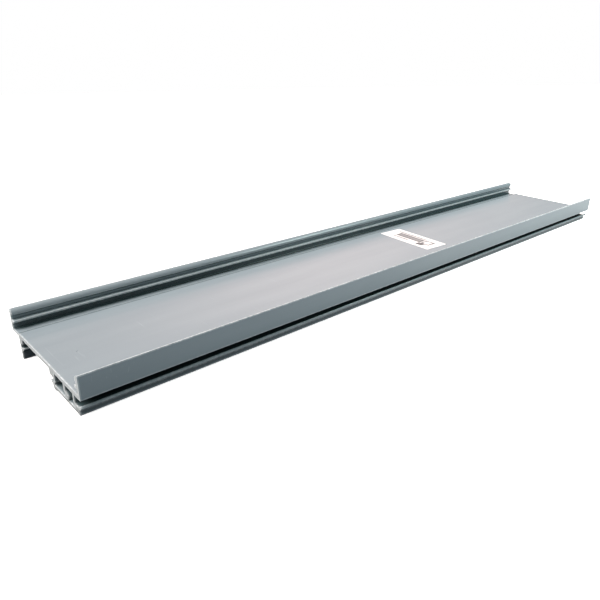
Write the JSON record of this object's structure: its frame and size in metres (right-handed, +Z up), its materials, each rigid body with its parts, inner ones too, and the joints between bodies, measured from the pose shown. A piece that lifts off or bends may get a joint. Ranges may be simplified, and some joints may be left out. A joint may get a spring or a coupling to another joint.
{
  "type": "extruded mounting rail",
  "caption": "Extruded grey plastic channel that holds a circuit board between the ribs and beads of its side walls and snaps onto a top-hat rail with a spring foot.",
  "frame": {"origin": "centre of the rail's length and width, at the level of the back leg's lower end", "axes": "+X along the extrusion, +Y from the front wall to the back wall, +Z up out of the channel"},
  "size_m": [0.41, 0.07, 0.0205],
  "materials": {
    "grey_pvc": "satin extruded rigid PVC, light grey",
    "label_paper": "matt white paper of the blank label, a thin piece that the scene adds"
  },
  "bodies": {
    "root": {"rail": "grey_pvc"}
  },
  "joints": []
}
